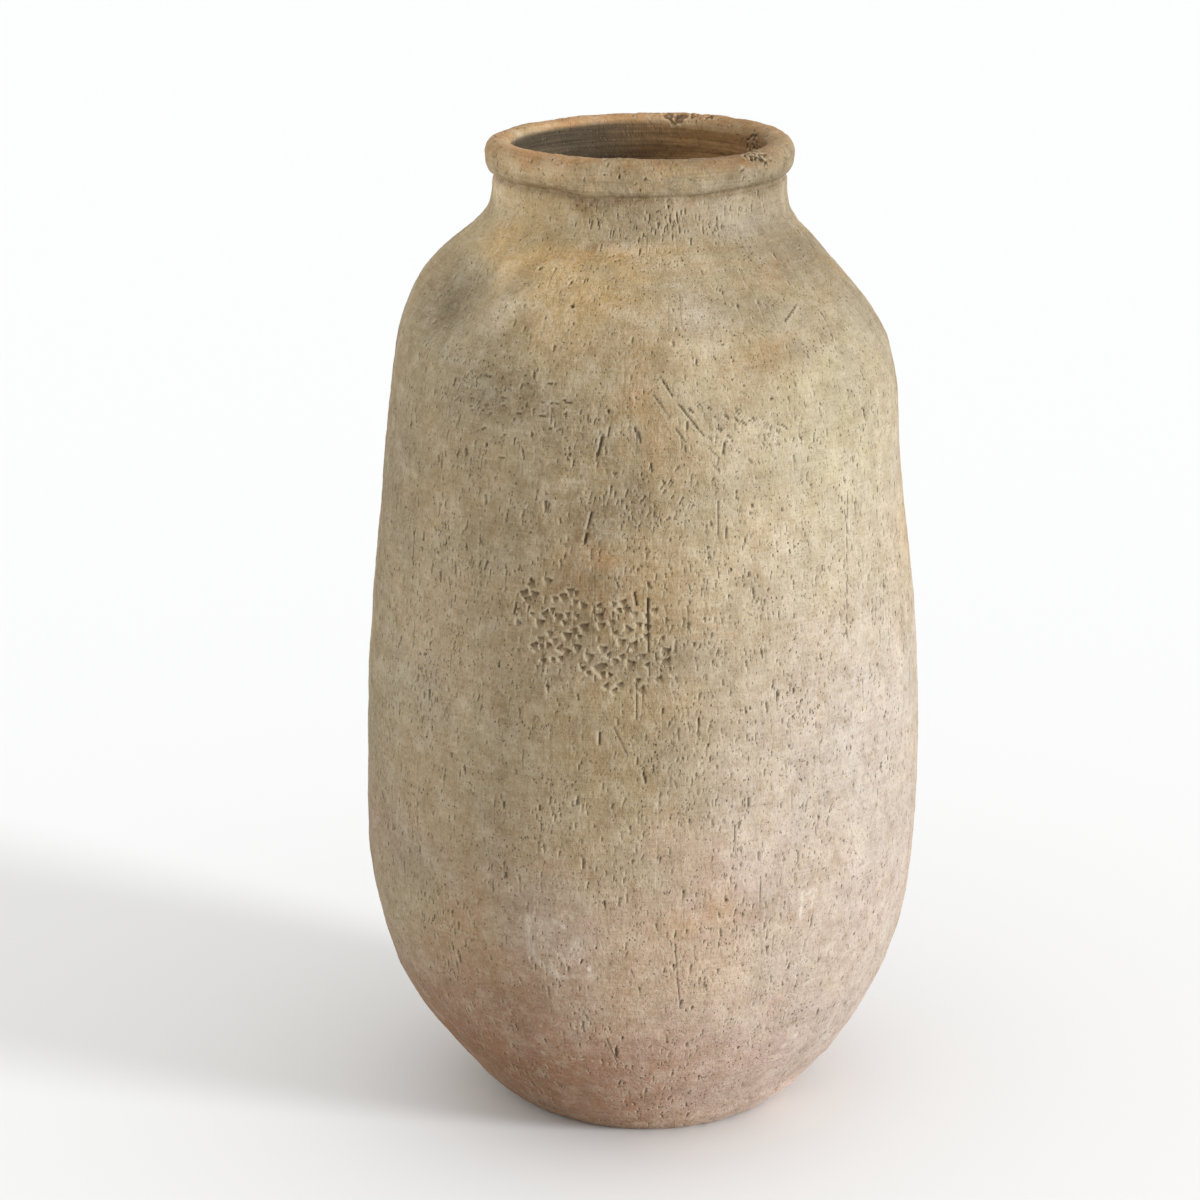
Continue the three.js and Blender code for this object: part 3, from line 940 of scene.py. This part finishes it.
def strip_uvs(rows, weights):
    """Each strip's share of the way round, one above another up the square."""
    rise = running_total(weights) / np.sum(weights)
    per = COLUMNS // STRIPS
    column = np.arange(COLUMNS)
    strip = column // per
    left = UV_MARGIN + (column % per) / per * (1 - 2 * UV_MARGIN)
    right = UV_MARGIN + (column % per + 1) / per * (1 - 2 * UV_MARGIN)
    edge = UV_MARGIN * STRIPS
    low = (strip + edge + rise[:-1, None] * (1 - 2 * edge)) / STRIPS
    high = (strip + edge + rise[1:, None] * (1 - 2 * edge)) / STRIPS
    left = np.broadcast_to(left, (rows, COLUMNS))
    right = np.broadcast_to(right, (rows, COLUMNS))
    corners = [(left, low), (right, low), (right, high), (left, high)]
    return np.stack([np.stack(c, axis=-1) for c in corners], axis=2)


def grid_quads(rows, closed):
    """The four vertices of every face between rows, in order round it."""
    first = np.arange(rows if closed else rows - 1)[:, None]
    second = (first + 1) % rows
    column = np.arange(COLUMNS)
    beside = (column + 1) % COLUMNS
    low, high = first * COLUMNS, second * COLUMNS
    return np.stack([low + column, low + beside, high + beside, high + column], axis=-1)


def add_caps(sheet, points, masks):
    """A centre vertex and a ring of triangles for the first and the last row."""
    column = np.arange(COLUMNS)
    beside = (column + 1) % COLUMNS
    last = len(sheet.points) - 1
    tris = []
    for end, order in ((0, 1), (last, -1)):
        points = np.concatenate([points, [sheet.points[end].mean(axis=0)]])
        masks = {key: np.append(v, v[end * COLUMNS]) for key, v in masks.items()}
        ring = end * COLUMNS + np.stack([beside, column][::order], axis=1)
        tris.append(np.column_stack([np.full(COLUMNS, len(points) - 1), ring]))
    facing = np.repeat([[0.0, 0.0, -1.0], [0.0, 0.0, 1.0]], COLUMNS * 3, axis=0)
    return points, masks, np.concatenate(tris), facing


def make_piece(name, sheet, hard_rows, closed):
    """A mesh of quads round the jar. Faces that start on a hard row are joint faces, shaded flat."""
    quads = grid_quads(len(sheet.points), closed)
    spans = len(quads)
    points = sheet.points.reshape(-1, 3)
    corners = points[quads]
    weights = np.linalg.norm(corners[:, :, 3] - corners[:, :, 0], axis=-1).mean(axis=1)
    hard = np.isin(np.arange(spans), hard_rows)
    inner = sheet.masks["inside"][:spans].mean(axis=1)
    weights = weights * np.where(hard, JOINT_UV_WEIGHT, 1 - INSIDE_UV_SAVING * inner)
    uvs = strip_uvs(spans, weights).reshape(-1, 2)
    flat = np.cross(corners[:, :, 1] - corners[:, :, 0], corners[:, :, 3] - corners[:, :, 0])
    flat /= np.maximum(np.linalg.norm(flat, axis=-1, keepdims=True), 1e-9)
    normals = sheet.normals.reshape(-1, 3)[quads]
    normals[hard] = flat[hard][:, :, None]
    normals = normals.reshape(-1, 3)
    loops = quads.reshape(-1)
    starts = np.arange(spans * COLUMNS) * 4
    masks = {key: values.reshape(-1) for key, values in sheet.masks.items()}
    if not closed:
        points, masks, tris, facing = add_caps(sheet, points, masks)
        normals = np.concatenate([normals, facing])
        starts = np.concatenate([starts, len(loops) + np.arange(len(tris)) * 3])
        loops = np.concatenate([loops, tris.reshape(-1)])
        uvs = np.concatenate([uvs, np.full((len(tris) * 3, 2), 0.5)])
    mesh = bpy.data.meshes.new(name)
    mesh.vertices.add(len(points))
    mesh.vertices.foreach_set("co", (points / MM).astype(np.float32).reshape(-1))
    mesh.loops.add(len(loops))
    mesh.loops.foreach_set("vertex_index", loops.astype(np.int32))
    mesh.polygons.add(len(starts))
    mesh.polygons.foreach_set("loop_start", starts.astype(np.int32))
    mesh.update(calc_edges=True)
    uv_map = mesh.uv_layers.new(name="OFBake")
    uv_map.data.foreach_set("uv", uvs.astype(np.float32).reshape(-1))
    for key, values in masks.items():
        layer = mesh.attributes.new(key, "FLOAT", "POINT")
        layer.data.foreach_set("value", values.astype(np.float32))
    mesh.validate()
    mesh.shade_smooth()
    mesh.normals_split_custom_set(normals.astype(np.float32))
    mesh.materials.append(CLAY)
    piece = bpy.data.objects.new(name, mesh)
    bpy.context.scene.collection.objects.link(piece)
    return piece


# ---- The clay ----


class Shading:
    """Short ways to add nodes to one material."""

    def __init__(self, name):
        self.material = bpy.data.materials.new(name)
        self.material.use_nodes = True
        self.tree = self.material.node_tree
        self.tree.nodes.clear()

    def node(self, kind, inputs=(), **settings):
        made = self.tree.nodes.new(kind)
        for key, value in settings.items():
            setattr(made, key, value)
        for key, value in dict(inputs).items():
            self.set(made.inputs[key], value)
        return made

    def set(self, socket, value):
        if isinstance(value, bpy.types.NodeSocket):
            self.tree.links.new(value, socket)
        else:
            socket.default_value = value

    def mask(self, name):
        return self.node("ShaderNodeAttribute", attribute_name=name).outputs["Fac"]

    def math(self, operation, a, b=0.0, c=0.0, clamp=False):
        made = self.node("ShaderNodeMath", {0: a, 1: b, 2: c}, operation=operation)
        made.use_clamp = clamp
        return made.outputs[0]

    def grain(self, place, size, detail=2.0, rough=0.5):
        """Noise from 0 to 1 with lumps of about size millimetres."""
        inputs = {"Vector": place, "Scale": 1 / size, "Detail": detail, "Roughness": rough}
        return self.node("ShaderNodeTexNoise", inputs).outputs["Fac"]

    def spots(self, place, size):
        """Distance from the nearest of scattered points about size millimetres apart."""
        return self.node("ShaderNodeTexVoronoi", {"Vector": place, "Scale": 1 / size}).outputs["Distance"]

    def dots(self, place, size, low, high, crowd, thin, thick, share=1.0):
        """Dots about size millimetres apart, shown where crowd goes from thin to thick."""
        dot = self.ramp(self.spots(place, size), low, high, 1.0, 0.0)
        return self.times(dot, self.ramp(crowd, thin, thick, 0.0, share))

    def times(self, a, b, clamp=False):
        return self.math("MULTIPLY", a, b, clamp=clamp)

    def ramp(self, value, low, high, start=0.0, end=1.0):
        """A smooth step of value between low and high, going from start to end."""
        inputs = {"Value": value, "From Min": low, "From Max": high, "To Min": start, "To Max": end}
        return self.node("ShaderNodeMapRange", inputs, interpolation_type="SMOOTHSTEP").outputs[0]

    def scaled(self, colour, factor):
        """A colour made lighter or darker."""
        return self.node("ShaderNodeVectorMath", {0: colour, "Scale": factor}, operation="SCALE").outputs[0]

    def mix(self, share, a, b):
        made = self.node("ShaderNodeMix", data_type="RGBA")
        self.set(made.inputs[0], share)
        self.set(made.inputs[6], a)
        self.set(made.inputs[7], b)
        return made.outputs[2]


BUFF = linear(164, 145, 116)
BUFF_WARM = linear(169, 145, 112)
BUFF_COOL = linear(157, 142, 116)


def clay_material():
    """Coarse unglazed clay: stained, mottled, streaked upwards and full of dark specks and pits."""
    s = Shading("fired_clay")
    object_place = s.node("ShaderNodeTexCoord").outputs["Object"]
    scale = s.node("ShaderNodeVectorMath", {0: object_place, "Scale": MM}, operation="SCALE")
    place = scale.outputs[0]
    upright = s.node("ShaderNodeMapping", {"Vector": place, "Scale": (1, 1, 0.6)}).outputs[0]
    streaked = s.node("ShaderNodeMapping", {"Vector": place, "Scale": (1, 1, 0.2)}).outputs[0]
    layered_flat = s.node("ShaderNodeMapping", {"Vector": place, "Scale": (0.03, 0.03, 1)}).outputs[0]

    clouds = s.grain(place, 55, 5, 0.6)
    mottle = s.grain(place, 9, 4, 0.65)
    fine = s.grain(upright, 1.7, 4, 0.75)
    streaks = s.grain(streaked, 1.5, 4, 0.65)
    colour = s.mix(s.ramp(clouds, 0.35, 0.65), BUFF_COOL, BUFF_WARM)
    colour = s.mix(s.ramp(mottle, 0.3, 0.75, 0.0, 0.5), colour, BUFF)
    blotches = s.grain(place, 19, 4, 0.6)

    soft_edge = s.ramp(s.grain(place, 5, 5, 0.7), 0.25, 0.7, 0.55, 1.25)
    speckled = s.ramp(s.grain(place, 3.2, 5, 0.8), 0.4, 0.6, 0.15, 1.5)
    for name, (tone, *_) in STAINS.items():
        share = s.times(s.mask(name), speckled if name == "grey" else soft_edge, clamp=True)
        colour = s.mix(share, colour, tone)

    inside = s.mask("inside")
    lines = s.grain(layered_flat, 2.5, 3, 0.6)
    warm_inner = s.mix(s.ramp(lines, 0.3, 0.7), linear(144, 109, 70), linear(172, 132, 86))
    cool_inner = s.mix(s.ramp(lines, 0.3, 0.7), linear(68, 58, 43), linear(84, 72, 55))
    leftness = s.ramp(s.node("ShaderNodeSeparateXYZ", {0: place}).outputs["X"], 62, -52)
    inner = s.mix(leftness, warm_inner, cool_inner)

    brushed = s.mix(s.mask("wiped"), streaks, s.grain(layered_flat, 1.6, 3, 0.6))
    hairs = s.grain(layered_flat, 1.1, 2, 0.5)
    cream = linear(210, 198, 175)
    brown = linear(112, 89, 52)
    # Each kind of grain lightens towards cream where it is high and darkens towards brown where it is low
    for value, low, high, light, dark in (
        (blotches, 0.34, 0.66, 0.18, 0.21),
        (mottle, 0.3, 0.7, 0.17, 0.24),
        (brushed, 0.3, 0.7, 0.09, 0.14),
        (hairs, 0.3, 0.7, 0.08, 0.1),
        (fine, 0.3, 0.72, 0.2, 0.32),
    ):
        colour = s.mix(s.ramp(value, 0.5, high, 0.0, light), colour, cream)
        colour = s.mix(s.ramp(value, 0.5, low, 0.0, dark), colour, brown)
    inner = s.scaled(inner, s.ramp(brushed, 0.3, 0.7, 0.85, 1.12))
    inner = s.scaled(inner, s.ramp(mottle, 0.3, 0.7, 0.88, 1.1))
    colour = s.mix(inside, colour, inner)
    # Lighter and darker by the tone mask: partly the clay's own tone, partly painted light and shade.
    colour = s.scaled(colour, s.mask("tone"))

    # Dark specks in crowds, tiny ones between them, pale flecks, and white grit with the rubs
    crowd = s.ramp(s.grain(place, 26, 3, 0.6), 0.42, 0.68)
    specks = s.dots(upright, 2.6, 0.1, 0.3, s.grain(place, 4, 2), 0.45, 0.6)
    specks = s.times(specks, s.math("MULTIPLY_ADD", crowd, 0.6, 0.25))
    colour = s.mix(s.times(specks, 0.9), colour, linear(82, 64, 40))
    tiny = s.dots(upright, 1.35, 0.08, 0.26, s.grain(place, 8, 3, 0.7), 0.42, 0.62, 0.75)
    colour = s.mix(tiny, colour, linear(92, 74, 48))
    flecks = s.dots(place, 2.1, 0.08, 0.24, s.grain(place, 6, 3, 0.7), 0.45, 0.62, 0.4)
    colour = s.mix(flecks, colour, linear(200, 186, 160))
    white = s.dots(place, 7.3, 0.04, 0.09, s.grain(place, 15, 2), 0.5, 0.65, 0.5)
    white = s.math("MAXIMUM", white, s.mask("chalk"))
    white = s.times(white, s.math("SUBTRACT", 1, inside))
    colour = s.mix(white, colour, linear(206, 196, 180))

    # Pale left edges of marks, partly wear and partly a painted highlight, then the dark in pits and
    # scratches, partly dirt held and partly painted shade
    colour = s.mix(s.times(s.mask("wear_and_painted_highlight"), 0.6), colour, linear(210, 198, 170))
    dirt_and_painted_shade = s.times(s.mask("dirt_and_painted_shade"), s.ramp(fine, 0.25, 0.6, 0.75, 1.0))
    colour = s.mix(s.times(dirt_and_painted_shade, 0.9), colour, linear(54, 42, 28))

    rough = s.math("MULTIPLY_ADD", mottle, 0.16, 0.8)
    bumps = s.math("MULTIPLY_ADD", s.grain(upright, 4.5, 4, 0.6), 1.2, s.times(fine, 0.6))
    bumps = s.math("MULTIPLY_ADD", streaks, 0.35, bumps)
    bumps = s.math("MULTIPLY_ADD", specks, -1.7, bumps)
    bumps = s.math("MULTIPLY_ADD", tiny, -0.8, bumps)
    bumps = s.math("MULTIPLY_ADD", s.grain(place, 0.7, 2), 0.25, bumps)
    bump = s.node("ShaderNodeBump", {"Height": bumps, "Strength": 1.0, "Distance": 0.001})
    shader = s.node(
        "ShaderNodeBsdfPrincipled",
        {"Base Color": colour, "Roughness": rough, "Normal": bump.outputs[0], "Specular IOR Level": 0.25},
    )
    output = s.node("ShaderNodeOutputMaterial")
    s.tree.links.new(shader.outputs[0], output.inputs[0])
    return s.material


CLAY = clay_material()


# ---- The sections ----


def section_rows(block):
    """First and last row of a block, sharing its first row with the block before."""
    return STARTS[block] - 1, STARTS[block + 1] - 1


def make_section(node, runs, closed):
    """A piece from runs of the skin's rows, each run joined to the next by a joint's face."""
    sheets = []
    hard = []
    count = 0
    for i, (first, last) in enumerate(runs):
        sheets.append(Sheet(np.arange(first, last + 1)))
        count += last + 1 - first
        if closed or i + 1 < len(runs):
            sheets.append(joint_face(last, runs[(i + 1) % len(runs)][0]))
            hard.append(np.arange(count - 1, count + JOINT_ROWS))
            count += JOINT_ROWS
    piece = make_piece("jar_" + node, joined(sheets), np.concatenate(hard), closed)
    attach(piece, "root")
    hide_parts(node)


def make_base():
    """The underside and the foot's edge outside, the floor inside, and the joint's face between them."""
    outside = (0, section_rows(1)[1])
    floor = section_rows(len(STARTS) - 2)
    make_section("base_disc", [outside, floor], False)


def make_wall(index):
    """One section of the wall, outside and inside, with a joint's face above and below."""
    outside = section_rows(1 + index)
    inside = section_rows(LIP_BLOCK + WALLS - index)
    make_section(SECTIONS[index], [outside, inside], True)


def make_rim():
    """The lip, all in one run, with the joint's face under it."""
    make_section("rim_coil", [section_rows(LIP_BLOCK)], True)


make_base()
for index in range(1, WALLS):
    make_wall(index)
make_rim()


# ---- Floor, light and camera ----

# In metres, millimetres of lens, and degrees
FLOOR_REACH = 30.0
FLOOR_COLOUR = (0.8, 0.8, 0.79, 1)
FLOOR_ROUGHNESS = 0.9
KEY_TURN, KEY_RISE = 66, 13
KEY_SOFTNESS = 12
KEY_ENERGY = 3.1
KEY_COLOUR = (0.97, 1.0, 1.06)
CAMERA_LENS = 104.6
CAMERA_PLACE = (0, -2.6, 1.165)
CAMERA_AIM = (-0.032, 0, 0.398)


def make_floor():
    mesh = bpy.data.meshes.new("studio_floor")
    corners = [(FLOOR_REACH * x, FLOOR_REACH * y, 0) for x, y in ((-1, -1), (1, -1), (1, 1), (-1, 1))]
    mesh.from_pydata(corners, [], [(0, 1, 2, 3)])
    floor = bpy.data.objects.new("studio_floor", mesh)
    bpy.context.scene.collection.objects.link(floor)
    s = Shading("pale_floor")
    inputs = {"Base Color": FLOOR_COLOUR, "Roughness": FLOOR_ROUGHNESS}
    shader = s.node("ShaderNodeBsdfPrincipled", inputs)
    output = s.node("ShaderNodeOutputMaterial")
    s.tree.links.new(shader.outputs[0], output.inputs[0])
    mesh.materials.append(s.material)


def make_light():
    """Light all round, and a broad softened key from the right, a little in front and above."""
    key = bpy.data.lights.new("key", "SUN")
    key.angle = math.radians(KEY_SOFTNESS)
    key.energy = KEY_ENERGY
    key.color = KEY_COLOUR
    lamp = bpy.data.objects.new("key", key)
    turn, rise = math.radians(KEY_TURN), math.radians(KEY_RISE)
    toward = Vector((math.sin(turn) * math.cos(rise), -math.cos(turn) * math.cos(rise), math.sin(rise)))
    lamp.rotation_euler = (-toward).to_track_quat("-Z", "Y").to_euler()
    bpy.context.scene.collection.objects.link(lamp)
    world = bpy.data.worlds.new("studio")
    world.use_nodes = True
    background = world.node_tree.nodes["Background"]
    background.inputs["Color"].default_value = (1, 1, 1, 1)
    background.inputs["Strength"].default_value = 1.0
    bpy.context.scene.world = world


def make_camera():
    """From a little above the mouth, well back, through a long lens."""
    camera = bpy.data.objects.new("camera", bpy.data.cameras.new("camera"))
    camera.data.sensor_width = 36
    camera.data.lens = CAMERA_LENS
    camera.location = CAMERA_PLACE
    camera.rotation_euler = (Vector(CAMERA_AIM) - camera.location).to_track_quat("-Z", "Y").to_euler()
    bpy.context.scene.collection.objects.link(camera)
    bpy.context.scene.camera = camera


make_floor()
make_light()
make_camera()
bpy.context.scene.view_settings.view_transform = "Standard"
